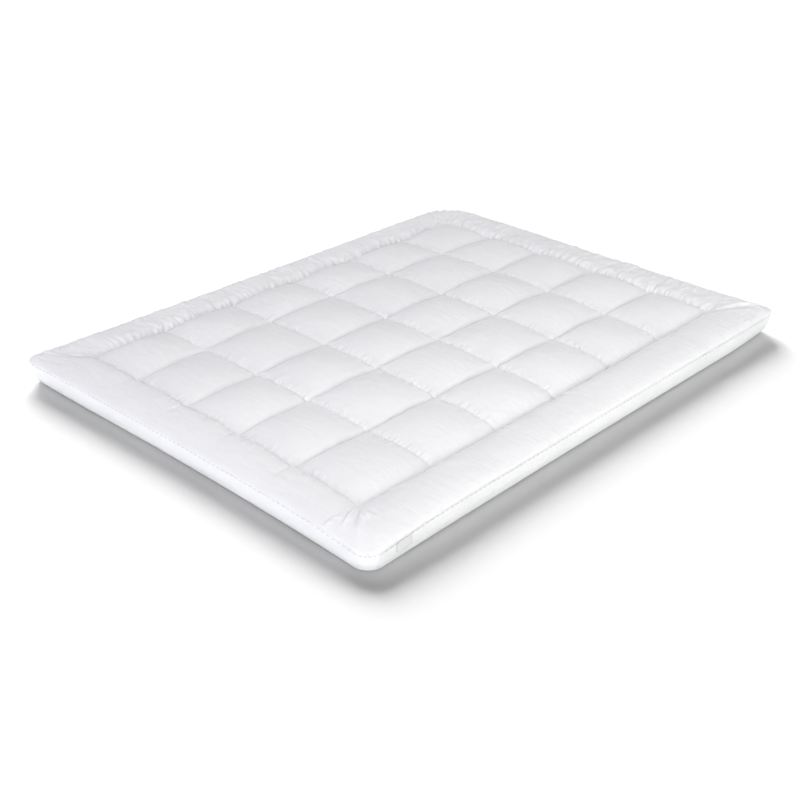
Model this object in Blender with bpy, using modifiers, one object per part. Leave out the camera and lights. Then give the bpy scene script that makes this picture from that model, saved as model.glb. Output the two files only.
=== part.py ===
"""Quilted mattress topper: a filled pad sewn in a grid of boxes, with a boxing strip and a blank tag.

The origin is the centre of the underside. +X faces the long side that carries the tag, +Y runs along the
length and +Z is up. Every size is in metres.
"""

from collections import namedtuple

import bmesh
import bpy

NAME = "mattress_topper"

# The outline, over the boxing strip
WIDTH = 1.500
LENGTH = 2.000

# tuck is how far the wall's foot is drawn in under a corner, and drop how far the seam comes down there
Corner = namedtuple("Corner", "side_x side_y radius tuck drop")
CORNERS = (
    Corner(side_x=+1, side_y=-1, radius=0.055, tuck=0.000, drop=+0.020),
    Corner(side_x=+1, side_y=+1, radius=0.045, tuck=0.020, drop=-0.004),
    Corner(side_x=-1, side_y=+1, radius=0.130, tuck=0.006, drop=+0.008),
    Corner(side_x=-1, side_y=-1, radius=0.035, tuck=0.014, drop=-0.002),
)
CORNER_REACH = 0.35    # how far from a corner these are felt

# How far the middle of each side is drawn in
BOW_X = {-1: 0.005, +1: 0.005}
BOW_Y = {-1: 0.014, +1: 0.005}

# The quilted field: its outer sewn lines, a little off centre as sewn
FIELD_X = (-0.616, 0.575)
FIELD_Y = (-0.857, 0.839)
BOXES_X = 5
BOXES_Y = 6

# Heights above the underside
LINE_HEIGHT = 0.062       # the field's outer sewn lines, at its corners
CROWN = 0.018             # the field's middle above that
CROWN_AT_ENDS = 0.4       # how much of the crown is left at the two short ends
BOX_PUFF = 0.027          # each box above its sewn lines
CROSS_LINE_RISE = 0.15    # how much of that puff is left on a cross line between two knots
SEAM_HEIGHT = 0.073       # the seam between the top and the boxing strip
BORDER_PUFF = 0.012       # the border's roll above a straight slope from sewn line to seam

# The roundness of those humps: a low power is pointed, a low root is steep at the sewn lines
BOX_POWER, BOX_ROOT = 2.4, 0.70
BORDER_POWER, BORDER_ROOT = 2.6, 0.70
BORDER_CREST = 0.8        # under 1 moves the border's crest towards the sewn line

# Where each box and the border are divided, as shares. The points crowd towards the sewn lines.
BOX_STEPS = (0.0, 0.08, 0.28, 0.50, 0.72, 0.92)
BORDER_STEPS = (0.07, 0.24, 0.46, 0.68, 0.87, 1.0)

# The pad's wall, from the rim at the seam down to the flat underside. height is a share of the seam's height,
# and inset is measured from the outline.
Row = namedtuple("Row", "height inset")
WALL = (
    Row(height=1.00, inset=0.0034),
    Row(height=0.96, inset=0.0058),
    Row(height=0.76, inset=0.0036),
    Row(height=0.48, inset=0.0030),
    Row(height=0.23, inset=0.0050),
    Row(height=0.08, inset=0.0110),
    Row(height=0.00, inset=0.0260),
)

# The boxing strip lies on that wall, and the tag on the strip. top and foot are shares of the seam's height.
Band = namedtuple("Band", "top foot thickness")
GUSSET = Band(top=0.95, foot=0.08, thickness=0.0024)
TAG = Band(top=0.94, foot=0.53, thickness=0.0008)
TAG_WIDTH = 0.055
TAG_MIDDLE_Y = -0.883
GAP = 0.0004              # between pieces that lie against each other

# Colours, linear
TOP_COLOUR = (0.90, 0.90, 0.92, 1.0)
STRIP_COLOUR = (0.84, 0.87, 0.91, 1.0)
TAG_COLOUR = (0.95, 0.95, 0.95, 1.0)


def between(start, end, share):
    """The value that lies this share of the way from start to end."""
    return start + (end - start) * share


def dome(across, power, root):
    """A rounded hump over -1 to 1: 1 in the middle, 0 at both ends."""
    return max(0.0, 1.0 - abs(across) ** power) ** root


# The plan


def corner_of(x, y):
    """The corner that a point belongs to."""
    side_x = +1 if x > sum(FIELD_X) / 2 else -1
    side_y = +1 if y > sum(FIELD_Y) / 2 else -1
    return next(corner for corner in CORNERS if (corner.side_x, corner.side_y) == (side_x, side_y))


def grid_lines(field, boxes, half_size):
    """Each grid line as its position and its share of the way out through the border, side to side."""
    box = (field[1] - field[0]) / boxes
    lines = [(between(field[0], -half_size, share), share) for share in reversed(BORDER_STEPS)]
    for number in range(boxes):
        lines += [(field[0] + (number + step) * box, 0.0) for step in BOX_STEPS]
    lines.append((field[1], 0.0))
    lines += [(between(field[1], half_size, share), share) for share in BORDER_STEPS]
    return lines


def rounded(x, y, share):
    """Moves a point of the border's square ring onto its corner arc. Gives the point and its normal."""
    corner = corner_of(x, y)
    radius = corner.radius * share
    ring_x = between(FIELD_X[corner.side_x > 0], corner.side_x * WIDTH / 2, share)
    ring_y = between(FIELD_Y[corner.side_y > 0], corner.side_y * LENGTH / 2, share)
    centre_x = ring_x - corner.side_x * radius
    centre_y = ring_y - corner.side_y * radius
    past_x = (x - centre_x) * corner.side_x
    past_y = (y - centre_y) * corner.side_y
    if past_x > 0 and past_y > 0:
        reach = (past_x**2 + past_y**2) ** 0.5
        normal_x = corner.side_x * past_x / reach
        normal_y = corner.side_y * past_y / reach
        return centre_x + normal_x * radius, centre_y + normal_y * radius, (normal_x, normal_y)
    if past_x > past_y:
        return x, y, (corner.side_x, 0.0)
    return x, y, (0.0, corner.side_y)


def bow(along, straight):
    """How much of its bow a side has: nothing at its straight stretch's ends, all of it in the middle."""
    low, high = sorted(straight)
    share = (along - low) / (high - low)
    return max(0.0, 4.0 * share * (1.0 - share))


def drawn_in(x, y, share):
    """Pulls the middle of a side inwards, fully at the outline (share 1) and not at all at the sewn field."""
    corner = corner_of(x, y)
    ends_x = [c.side_x * (WIDTH / 2 - c.radius) for c in CORNERS if c.side_y == corner.side_y]
    ends_y = [c.side_y * (LENGTH / 2 - c.radius) for c in CORNERS if c.side_x == corner.side_x]
    field_x, field_y = FIELD_X[corner.side_x > 0], FIELD_Y[corner.side_y > 0]
    reach_x = max(0.0, (x - field_x) / (corner.side_x * WIDTH / 2 - field_x))
    reach_y = max(0.0, (y - field_y) / (corner.side_y * LENGTH / 2 - field_y))
    in_x = BOW_X[corner.side_x] * bow(y, ends_y) * reach_x * share
    in_y = BOW_Y[corner.side_y] * bow(x, ends_x) * reach_y * share
    return x - corner.side_x * in_x, y - corner.side_y * in_y


def nearness(x, y):
    """1 at a corner of the outline, falling to 0 at the corner's reach."""
    away = (WIDTH / 2 - abs(x)) + (LENGTH / 2 - abs(y))
    return max(0.0, 1.0 - away / CORNER_REACH) ** 2


class Station:
    """A place on the outline, from which the wall, the strip and the tag are drawn down."""

    def __init__(self, x, y):
        corner = corner_of(x, y)
        x, y, self.normal = rounded(x, y, 1.0)
        self.x, self.y = drawn_in(x, y, 1.0)
        near = nearness(self.x, self.y)
        self.tuck = corner.tuck * near
        self.seam = SEAM_HEIGHT - corner.drop * near

    def on_wall(self, height, out=0.0):
        """The point of the wall at a share of the seam's height, or that far out from the wall."""
        pairs = zip(WALL, WALL[1:])
        upper, lower = next((top, foot) for top, foot in pairs if foot.height <= height <= top.height)
        inset = between(lower.inset, upper.inset, (height - lower.height) / (upper.height - lower.height))
        inset += self.tuck * (1.0 - height) - out
        return (self.x - self.normal[0] * inset, self.y - self.normal[1] * inset, height * self.seam)


# The height of the top


def line_level(x, y):
    """The level of the sewn lines: lowest at the field's corners and highest in its middle."""
    across = 2 * (x - FIELD_X[0]) / (FIELD_X[1] - FIELD_X[0]) - 1
    along = 2 * (y - FIELD_Y[0]) / (FIELD_Y[1] - FIELD_Y[0]) - 1
    crown = CROWN * dome(min(1.0, abs(across)), 2, 1)
    return LINE_HEIGHT + crown * between(CROWN_AT_ENDS, 1.0, dome(min(1.0, abs(along)), 2, 1))


def box_puff(x, y):
    """How far a box's cloth stands above its sewn lines."""
    across = 2 * ((x - FIELD_X[0]) / (FIELD_X[1] - FIELD_X[0]) * BOXES_X % 1.0) - 1
    along = 2 * ((y - FIELD_Y[0]) / (FIELD_Y[1] - FIELD_Y[0]) * BOXES_Y % 1.0) - 1
    over_y = between(CROSS_LINE_RISE, 1.0, dome(along, BOX_POWER, BOX_ROOT))
    return BOX_PUFF * dome(across, BOX_POWER, BOX_ROOT) * over_y


def border_height(x, y, share):
    """The border's roll, from the field's outer sewn line (share 0) out to the seam (share 1)."""
    seam = SEAM_HEIGHT - corner_of(x, y).drop * nearness(x, y)
    slope = between(line_level(x, y), seam, share)
    return slope + BORDER_PUFF * dome(2 * share**BORDER_CREST - 1, BORDER_POWER, BORDER_ROOT)


# The meshes


def material(name, colour, roughness):
    """A plain cloth finish."""
    made = bpy.data.materials.new(name)
    made.use_nodes = True
    shader = made.node_tree.nodes["Principled BSDF"]
    shader.inputs["Base Color"].default_value = colour
    shader.inputs["Roughness"].default_value = roughness
    shader.inputs["Metallic"].default_value = 0.0
    return made


def add_object(name, bm, finish, collection):
    """Turns a bmesh into an object of the collection."""
    bmesh.ops.recalc_face_normals(bm, faces=bm.faces)
    mesh = bpy.data.meshes.new(name)
    bm.to_mesh(mesh)
    bm.free()
    mesh.shade_smooth()
    mesh.materials.append(finish)
    made = bpy.data.objects.new(name, mesh)
    collection.objects.link(made)
    return made


def draw_down(bm, edges, stations, heights, out=0.0):
    """Extrudes a line of edges down the wall, a row for each height, from vertices with known stations."""
    for height in heights:
        made = bmesh.ops.extrude_edge_only(bm, edges=edges)["geom"]
        edges = [item for item in made if isinstance(item, bmesh.types.BMEdge)]
        below = {}
        for vert in [item for item in made if isinstance(item, bmesh.types.BMVert)]:
            ends = [edge.other_vert(vert) for edge in vert.link_edges]
            below[vert] = next(stations[end] for end in ends if end in stations)
            vert.co = below[vert].on_wall(height, out)
        stations = below
    return edges


def build_pad(lines_x, lines_y, finish, collection):
    """The filled pad: a grid for its quilted top, its wall drawn down from the rim, and a flat underside."""
    bm = bmesh.new()
    count_x, count_y = len(lines_x) - 1, len(lines_y) - 1
    bmesh.ops.create_grid(bm, x_segments=count_x, y_segments=count_y, size=0.5)
    stations = {}
    for vert in bm.verts:
        x, share_x = lines_x[round((vert.co.x + 0.5) * count_x)]
        y, share_y = lines_y[round((vert.co.y + 0.5) * count_y)]
        share = max(share_x, share_y)
        if share == 0:
            vert.co = (x, y, line_level(x, y) + box_puff(x, y))
        elif share < 1:
            height = border_height(x, y, share)
            vert.co = (*drawn_in(*rounded(x, y, share)[:2], share), height)
        else:
            stations[vert] = Station(x, y)
            vert.co = stations[vert].on_wall(WALL[0].height)
    rim = [edge for edge in bm.edges if edge.is_boundary]
    foot = draw_down(bm, rim, stations, [row.height for row in WALL[1:]])
    bmesh.ops.edgeloop_fill(bm, edges=foot)
    return add_object("quilted_pad", bm, finish, collection)


def build_band(name, stations, closed, band, out, finish, collection):
    """A band of cloth along the stations: an open surface that far out from the wall, thickened outwards."""
    bm = bmesh.new()
    verts = {bm.verts.new(station.on_wall(band.top, out)): station for station in stations}
    order = list(verts)
    edges = [bm.edges.new(pair) for pair in zip(order, order[1:])]
    if closed:
        edges.append(bm.edges.new((order[-1], order[0])))
    bends = [row.height for row in WALL if band.foot < row.height < band.top]
    draw_down(bm, edges, verts, bends + [band.foot], out)
    shell = add_object(name, bm, finish, collection).modifiers.new("thickness", "SOLIDIFY")
    shell.thickness = band.thickness
    shell.offset = 1.0
    shell.use_even_offset = True


def outline_stations(lines_x, lines_y):
    """The stations once round the topper, one for each vertex of the top's rim."""
    xs, ys = [line[0] for line in lines_x], [line[0] for line in lines_y]
    rim = [(x, ys[0]) for x in xs[:-1]] + [(xs[-1], y) for y in ys[:-1]]
    rim += [(x, ys[-1]) for x in reversed(xs[1:])] + [(xs[0], y) for y in reversed(ys[1:])]
    return [Station(x, y) for x, y in rim]


def build_gusset(lines_x, lines_y, finish, collection):
    """The boxing strip, once round the side."""
    stations = outline_stations(lines_x, lines_y)
    build_band("side_gusset", stations, True, GUSSET, GAP, finish, collection)


def build_tag(finish, collection):
    """The blank sewn tag on the +X side, against the boxing strip."""
    places = (TAG_MIDDLE_Y - TAG_WIDTH / 2, TAG_MIDDLE_Y, TAG_MIDDLE_Y + TAG_WIDTH / 2)
    stations = [Station(WIDTH / 2, y) for y in places]
    out = GAP + GUSSET.thickness + GAP
    build_band("side_label", stations, False, TAG, out, finish, collection)


def main():
    """Clears the scene and builds the topper in a collection of its own."""
    for old in list(bpy.data.objects):
        bpy.data.objects.remove(old, do_unlink=True)
    collection = bpy.data.collections.new(NAME)
    bpy.context.scene.collection.children.link(collection)
    lines_x = grid_lines(FIELD_X, BOXES_X, WIDTH / 2)
    lines_y = grid_lines(FIELD_Y, BOXES_Y, LENGTH / 2)
    build_pad(lines_x, lines_y, material("quilted_cloth", TOP_COLOUR, 0.85), collection)
    build_gusset(lines_x, lines_y, material("strip_cloth", STRIP_COLOUR, 0.85), collection)
    build_tag(material("tag_cloth", TAG_COLOUR, 0.6), collection)


main()
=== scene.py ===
"""The looks of the quilted mattress topper: puffed and puckered cloth, boxing strip, blank tag and stitches.

Every size is in metres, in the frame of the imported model: +X faces the long side with the tag, +Y runs along
the length and +Z is up. The sizes that shape the topper repeat those of part.py.
"""

import math
from collections import namedtuple

import bmesh
import bpy
import numpy as np
from mathutils import Matrix, Vector, noise


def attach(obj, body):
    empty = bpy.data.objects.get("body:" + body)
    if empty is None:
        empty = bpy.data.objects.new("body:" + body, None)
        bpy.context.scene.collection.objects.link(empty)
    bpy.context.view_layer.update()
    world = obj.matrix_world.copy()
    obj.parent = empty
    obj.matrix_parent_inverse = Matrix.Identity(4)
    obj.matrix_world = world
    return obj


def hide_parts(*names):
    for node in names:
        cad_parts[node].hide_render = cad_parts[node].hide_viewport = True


# The outline, over the boxing strip
WIDTH = 1.500
LENGTH = 2.000

# tuck is how far the wall's foot is drawn in under a corner, and drop how far the seam comes down there.
# The order is that of corners_of.
Corner = namedtuple("Corner", "side_x side_y radius tuck drop")
CORNERS = (
    Corner(side_x=-1, side_y=-1, radius=0.035, tuck=0.014, drop=-0.002),
    Corner(side_x=-1, side_y=+1, radius=0.130, tuck=0.006, drop=+0.008),
    Corner(side_x=+1, side_y=-1, radius=0.055, tuck=0.000, drop=+0.020),
    Corner(side_x=+1, side_y=+1, radius=0.045, tuck=0.020, drop=-0.004),
)
CORNER_REACH = 0.35    # how far from a corner these are felt

# How far the middle of each side is drawn in, at the low and the high side
BOW_X = (0.005, 0.005)
BOW_Y = (0.014, 0.005)

# The quilted field: its outer sewn lines
FIELD_X = (-0.616, 0.575)
FIELD_Y = (-0.857, 0.839)
BOXES_X = 5
BOXES_Y = 6

# How far each sewn line is off its even place at its start, middle and end, as sewn. The lines of constant X
# come from -X to +X and run along Y, and the lines of constant Y come from -Y to +Y and run along X.
OFF_X = (
    (-0.004, -0.004, -0.004),
    (-0.004, -0.028, -0.008),
    (-0.006, -0.004, -0.012),
    (-0.014, -0.008, +0.002),
    (-0.014, +0.002, +0.016),
    (+0.002, +0.003, +0.003),
)
OFF_Y = (
    (+0.012, +0.012, -0.004),
    (+0.008, -0.002, +0.002),
    (+0.008, +0.000, -0.002),
    (+0.012, +0.000, -0.012),
    (+0.016, +0.000, -0.010),
    (+0.008, +0.008, -0.020),
    (+0.000, +0.000, +0.000),
)

# Heights above the underside
LINE_HEIGHT = 0.062       # the field's outer sewn lines, at its corners
CROWN = 0.018             # the field's middle above that
CROWN_AT_ENDS = 0.4       # how much of the crown is left at the two short ends
BOX_PUFF = 0.033          # each box above its sewn lines
LONG_LINE_RISE = 0.08     # how much of that puff is left on a line along Y, between two knots
CROSS_LINE_RISE = 0.30    # and on a line along X
SEAM_HEIGHT = 0.073       # the seam between the top and the boxing strip
BORDER_PUFF = 0.013       # the border's roll above a straight slope from sewn line to seam
RIGHT_PUFF = 0.022        # the same on the +X side, where the border is fullest
FRONT_PUFF = 0.019        # and on the -Y side

# The narrow hollow that the stitches pull along the lines along Y, and the pit round each knot of the field's
# outer line on the +X side
LINE_GROOVE, LINE_GROOVE_WIDTH = 0.0045, 0.006
PIT, PIT_WIDTH = 0.010, 0.015

# How much deeper some of the field's outer sewn lines are drawn in, and how wide that hollow is
RIGHT_DIP, RIGHT_DIP_WIDTH = 0.008, 0.028
LEFT_DIP, LEFT_DIP_WIDTH = 0.015, 0.019
BACK_DIP, BACK_DIP_WIDTH = 0.013, 0.019

# The boxes beside those lines fall to them more steeply: these take the place of LONG_ROOT and CROSS_ROOT
LEFT_ROOT, BACK_ROOT = 0.36, 0.50

# The roundness of those humps: a low power is pointed, a low root is steep at the sewn lines
LONG_POWER, LONG_ROOT = 2.0, 0.47
CROSS_POWER, CROSS_ROOT = 2.2, 0.90
BORDER_POWER, BORDER_ROOT = 2.6, 0.62
RIGHT_POWER, RIGHT_ROOT = 2.1, 0.60
FRONT_POWER, FRONT_ROOT = 2.0, 0.80
BORDER_CREST = 0.8        # under 1 moves the border's crest towards the sewn line
FRONT_CREST = 0.68        # the same on the -Y side

# The pad's wall, from the rim at the seam down to the flat underside. height is a share of the seam's height,
# and inset is measured from the outline.
Row = namedtuple("Row", "height inset")
WALL = (
    Row(height=1.000, inset=0.0018),
    Row(height=0.975, inset=0.0008),
    Row(height=0.955, inset=0.0012),
    Row(height=0.945, inset=0.0042),
    Row(height=0.760, inset=0.0036),
    Row(height=0.480, inset=0.0030),
    Row(height=0.230, inset=0.0050),
    Row(height=0.080, inset=0.0110),
    Row(height=0.000, inset=0.0260),
)

# The boxing strip and the tag. The tops and feet are shares of the seam's height.
GUSSET_TOP, GUSSET_FOOT = 0.94, 0.06
GUSSET_THICKNESS = 0.0016
GUSSET_SLACK, GUSSET_WAVE, GUSSET_RIPPLE = 0.0012, 0.0010, 0.0005    # off the wall, and its unevenness
TAG_TOP, TAG_FOOT = 0.93, 0.53
TAG_THICKNESS = 0.0006
TAG_WIDTH = 0.055
TAG_MIDDLE_Y = -0.872
TAG_ROOM = 0.0022         # behind the tag, for the strip's slack
TAG_CURL, TAG_WAVE = 0.0022, 0.0006    # out at its foot, and its unevenness
GAP = 0.0004              # between pieces that lie against each other
CREASE_TURN = 43.0        # degrees from +X in which the cloth's fine slack creases run

# The camera that took the photograph
CAMERA_AZIMUTH, CAMERA_ELEVATION, CAMERA_ROLL = 42.73, 28.44, 0.86    # degrees
CAMERA_AIM = (0.1738, -0.2729, 0.0)
CAMERA_DISTANCE = 3.8986
CAMERA_LENS, CAMERA_SENSOR = 57.0, 36.0    # millimetres

# The studio's lights, each named for where it stands: azimuth and elevation in degrees, power and colour, and
# what it lights. The far lights are wide and have an even power over the whole floor. The near ones are soft
# boxes, in watts. The floor has a wash of its own from behind, which gives the topper's soft shadow, and a
# weak fill. The topper's lights from in front are kept off the floor, so that they don't fill that shadow.
EVERYTHING, FLOOR, TOPPER = "everything", "floor", "topper"
Light = namedtuple("Light", "name azimuth elevation power colour lights")
FAR_LIGHTS = (
    Light("behind_left", 225, 30, 1.16, (0.97, 0.96, 1.00), EVERYTHING),
    Light("behind", 180, 30, 0.35, (0.98, 0.98, 1.00), EVERYTHING),
    Light("behind_right", 135, 5, 0.16, (1.00, 1.00, 0.96), EVERYTHING),
    Light("left_high", 0, 58, 0.75, (0.96, 0.97, 1.00), TOPPER),
    Light("left_low", 0, 12, 0.33, (0.92, 0.95, 1.00), TOPPER),
    Light("front_low", 45, 12, 1.23, (0.99, 0.98, 1.00), TOPPER),
    Light("front_high", 45, 58, 0.96, (0.99, 0.97, 1.00), TOPPER),
    Light("floor_fill", 45, 34, 1.00, (1.00, 1.00, 1.00), FLOOR),
)
FLOOR_WASH = Light("floor_wash", 238, 24, 5.10, (1.00, 1.00, 1.00), FLOOR)
NEAR_LIGHTS = (
    Light("front_box", 10, 26, 7.2, (0.97, 0.94, 1.00), TOPPER),
    Light("right_box", 88, 14, 14.0, (1.00, 1.00, 0.90), TOPPER),
    Light("right_high_box", 84, 44, 8.7, (1.00, 1.00, 0.95), TOPPER),
)
FAR_LIGHT_WIDTH, FLOOR_WASH_WIDTH = 30.0, 36.0    # degrees across
NEAR_LIGHT_DISTANCE, NEAR_LIGHT_SIZE = 2.8, 1.5
WORLD_COLOUR, WORLD_STRENGTH = (0.97, 0.98, 1.00, 1.0), 0.02
FLOOR_COLOUR, FLOOR_ROUGHNESS, FLOOR_REACH = (0.97, 0.97, 0.97, 1.0), 0.9, 20.0
BACKDROP_COLOUR, BACKDROP_RADIUS = (1.0, 1.0, 1.0, 1.0), 19.0

# The cloths. The colour drifts between colour and tint, weave is the width of a thread and its gap, and the
# depths are those of the weave and of the fine slack creases.
Cloth = namedtuple("Cloth", "name colour tint roughness weave weave_depth crease_depth")
TOP_CLOTH = Cloth(
    name="quilted_cloth",
    colour=(0.830, 0.828, 0.836),
    tint=(0.804, 0.802, 0.813),
    roughness=0.85,
    weave=0.0009,
    weave_depth=0.00010,
    crease_depth=0.0032,
)
# The boxing strip is the same white cloth as the top, painted lighter and a little bluer: painted light that
# stands in for the brighter, cooler light on the walls.
STRIP_CLOTH_PAINTED_LIGHT = TOP_CLOTH._replace(
    name="strip_cloth",
    colour=(0.870, 0.877, 0.890),
    tint=(0.848, 0.858, 0.874),
    crease_depth=0.0030,
)
# The tag's cloth is painted greyer than the strip. This is painted shade, which also stands in for the print
# that the blank tag lacks.
TAG_CLOTH_PAINTED_SHADE = Cloth(
    name="tag_cloth",
    colour=(0.75, 0.75, 0.76),
    tint=(0.73, 0.73, 0.74),
    roughness=0.55,
    weave=0.0006,
    weave_depth=0.00005,
    crease_depth=0.0003,
)
QUILT_THREAD_COLOUR = (0.76, 0.76, 0.80)
# The seam's thread is darker than the quilt's. It is real thread with painted shade, which stands in for the
# shade of the seam's needle holes and puckers.
SEAM_THREAD_AND_SHADE_COLOUR = (0.60, 0.61, 0.64)

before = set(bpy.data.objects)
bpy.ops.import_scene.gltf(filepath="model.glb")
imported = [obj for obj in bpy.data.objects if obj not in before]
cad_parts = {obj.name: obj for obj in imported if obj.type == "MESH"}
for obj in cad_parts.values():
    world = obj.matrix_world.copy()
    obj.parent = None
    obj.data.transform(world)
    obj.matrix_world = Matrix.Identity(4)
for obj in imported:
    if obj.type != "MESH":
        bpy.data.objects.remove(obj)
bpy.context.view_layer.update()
chance = np.random.default_rng(20260)


def between(start, end, share):
    """The value that lies this share of the way from start to end."""
    return start + (end - start) * share


def dome(across, power, root):
    """A rounded hump over -1 to 1: 1 in the middle, 0 at both ends and beyond."""
    return np.clip(1.0 - np.abs(across) ** power, 0.0, 1.0) ** root


def bell(away, width):
    """A soft bump: 1 at no distance, and falling off over the width."""
    return np.exp(-((away / width) ** 2))


def smooth(low, high, value):
    """0 up to low, 1 from high, and smooth between them."""
    share = np.clip((value - low) / (high - low), 0.0, 1.0)
    return share * share * (3.0 - 2.0 * share)


SEED_STEP = 7.3    # how far apart in the noise two seeds read it


def noise_at(x, y, size, seed, z=0.0):
    """Smooth noise of about -1 to 1 at plan points, with features of the given size along X and Y."""
    size_x, size_y = size
    level = SEED_STEP * seed
    points = zip(np.atleast_1d(x) / size_x, np.atleast_1d(y) / size_y, np.broadcast_to(z, np.shape(x)))
    return np.array([noise.noise(Vector((a, b, c + level))) for a, b, c in points])


# The plan: nominal points on straight lines and a square outline, and where the real cloth has them


def corners_of(x, y):
    """The traits of the corner that each point belongs to, as arrays."""
    number = 2 * (x > sum(FIELD_X) / 2) + (y > sum(FIELD_Y) / 2)
    return Corner(*np.array(CORNERS)[number].T)


def field_edge(x, y):
    """The field's edges nearest to each point, along X and Y."""
    corner = corners_of(x, y)
    edge_x = np.where(corner.side_x > 0, FIELD_X[1], FIELD_X[0])
    edge_y = np.where(corner.side_y > 0, FIELD_Y[1], FIELD_Y[0])
    return edge_x, edge_y


def border_shares(x, y):
    """How far out through the border each point lies along X and Y: 0 at the field, 1 at the outline."""
    corner = corners_of(x, y)
    edge_x, edge_y = field_edge(x, y)
    share_x = (x - edge_x) / (corner.side_x * WIDTH / 2 - edge_x)
    share_y = (y - edge_y) / (corner.side_y * LENGTH / 2 - edge_y)
    return np.clip(share_x, 0, 1), np.clip(share_y, 0, 1)


def rounded(x, y, share):
    """Moves points of the border's square rings onto their corner arcs, and gives their normals as well."""
    corner = corners_of(x, y)
    edge_x, edge_y = field_edge(x, y)
    radius = corner.radius * share
    centre_x = between(edge_x, corner.side_x * WIDTH / 2, share) - corner.side_x * radius
    centre_y = between(edge_y, corner.side_y * LENGTH / 2, share) - corner.side_y * radius
    past_x = (x - centre_x) * corner.side_x
    past_y = (y - centre_y) * corner.side_y
    on_arc = (past_x > 0) & (past_y > 0)
    reach = np.where(on_arc, np.hypot(past_x, past_y), 1.0)
    normal_x = np.where(on_arc, past_x / reach, past_x > past_y) * corner.side_x
    normal_y = np.where(on_arc, past_y / reach, past_x <= past_y) * corner.side_y
    new_x = np.where(on_arc, centre_x + normal_x * radius, x)
    new_y = np.where(on_arc, centre_y + normal_y * radius, y)
    return new_x, new_y, normal_x, normal_y


def bow(along, low, high):
    """How much of its bow a side has: nothing at its straight stretch's ends, all of it in the middle."""
    share = (along - low) / (high - low)
    return np.clip(4.0 * share * (1.0 - share), 0.0, 1.0)


def straight_ends(side, half, along_x):
    """The two ends of the straight stretch of each point's side, for sides that run along X or along Y."""
    ends = []
    for end in (-1, +1):
        pairs = [(c, (c.side_x, c.side_y) if along_x else (c.side_y, c.side_x)) for c in CORNERS]
        radius = {sides[1]: c.radius for c, sides in pairs if sides[0] == end}
        ends.append(end * (half - np.where(side > 0, radius[1], radius[-1])))
    return ends


def drawn_in(x, y, share):
    """Pulls the middle of a side inwards, fully at the outline (share 1) and not at all at the sewn field."""
    corner = corners_of(x, y)
    share_x, share_y = border_shares(x, y)
    bow_x = np.where(corner.side_x > 0, BOW_X[1], BOW_X[0])
    bow_y = np.where(corner.side_y > 0, BOW_Y[1], BOW_Y[0])
    in_x = bow_x * bow(y, *straight_ends(corner.side_x, LENGTH / 2, along_x=False)) * share_x * share
    in_y = bow_y * bow(x, *straight_ends(corner.side_y, WIDTH / 2, along_x=True)) * share_y * share
    return x - corner.side_x * in_x, y - corner.side_y * in_y


def line_offset(number, along, table):
    """How far off the sewn lines are, at fractional line numbers and at shares of the way along them."""
    first, middle, last = np.array(table).T
    bend = (1 - 3 * along + 2 * along**2, 4 * along - 4 * along**2, 2 * along**2 - along)
    knots = np.arange(len(table))
    parts = [weight * np.interp(number, knots, column) for weight, column in zip(bend, (first, middle, last))]
    return sum(parts)


def as_sewn(x, y):
    """Shifts plan points by the unevenness of the sewn lines, which fades out across the border."""
    along_x = (x - FIELD_X[0]) / (FIELD_X[1] - FIELD_X[0])
    along_y = (y - FIELD_Y[0]) / (FIELD_Y[1] - FIELD_Y[0])
    fade = 1.0 - np.maximum(*border_shares(x, y))
    off_x = line_offset(along_x * BOXES_X, np.clip(along_y, 0, 1), OFF_X)
    off_y = line_offset(along_y * BOXES_Y, np.clip(along_x, 0, 1), OFF_Y)
    return x + off_x * fade, y + off_y * fade


def nearness(x, y):
    """1 at a corner of the outline, falling to 0 at the corner's reach."""
    away = (WIDTH / 2 - np.abs(x)) + (LENGTH / 2 - np.abs(y))
    return np.clip(1.0 - away / CORNER_REACH, 0.0, None) ** 2


# The height of the top


def sewn_lines():
    """The nominal places of the sewn lines along Y and along X."""
    return np.linspace(*FIELD_X, BOXES_X + 1), np.linspace(*FIELD_Y, BOXES_Y + 1)


def even_run(along):
    """1 nearly all the way along a line, over -1 to 1, and 0 at its two ends."""
    return dome(along, 8, 0.5)


def line_level(x, y):
    """The level of the sewn lines: lowest at the field's corners and highest in its middle."""
    across = np.clip(2 * (x - FIELD_X[0]) / (FIELD_X[1] - FIELD_X[0]) - 1, -1, 1)
    along = np.clip(2 * (y - FIELD_Y[0]) / (FIELD_Y[1] - FIELD_Y[0]) - 1, -1, 1)
    crown = CROWN * dome(across, 2, 1) * between(CROWN_AT_ENDS, 1.0, dome(along, 2, 1))
    right = RIGHT_DIP * bell(x - FIELD_X[1], RIGHT_DIP_WIDTH) * even_run(along)
    left = LEFT_DIP * bell(x - FIELD_X[0], LEFT_DIP_WIDTH) * even_run(along)
    back = BACK_DIP * bell(y - FIELD_Y[1], BACK_DIP_WIDTH) * even_run(across)
    to_line = np.abs(np.atleast_1d(x)[:, None] - sewn_lines()[0]).min(1)
    groove = LINE_GROOVE * bell(to_line, LINE_GROOVE_WIDTH) * even_run(along)
    return LINE_HEIGHT + crown - np.maximum(np.maximum(right, left), back) - groove


def box_place(x, y):
    """Each point's box and its place in it, -1 to 1 both ways."""
    across = (x - FIELD_X[0]) / (FIELD_X[1] - FIELD_X[0]) * BOXES_X
    along = (y - FIELD_Y[0]) / (FIELD_Y[1] - FIELD_Y[0]) * BOXES_Y
    column = np.clip(np.floor(across), 0, BOXES_X - 1).astype(int)
    row = np.clip(np.floor(along), 0, BOXES_Y - 1).astype(int)
    return column, row, 2 * (across - column) - 1, 2 * (along - row) - 1


BOX_FILL = chance.uniform(0.90, 1.06, (BOXES_X, BOXES_Y))    # no two boxes hold quite the same filling


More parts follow.
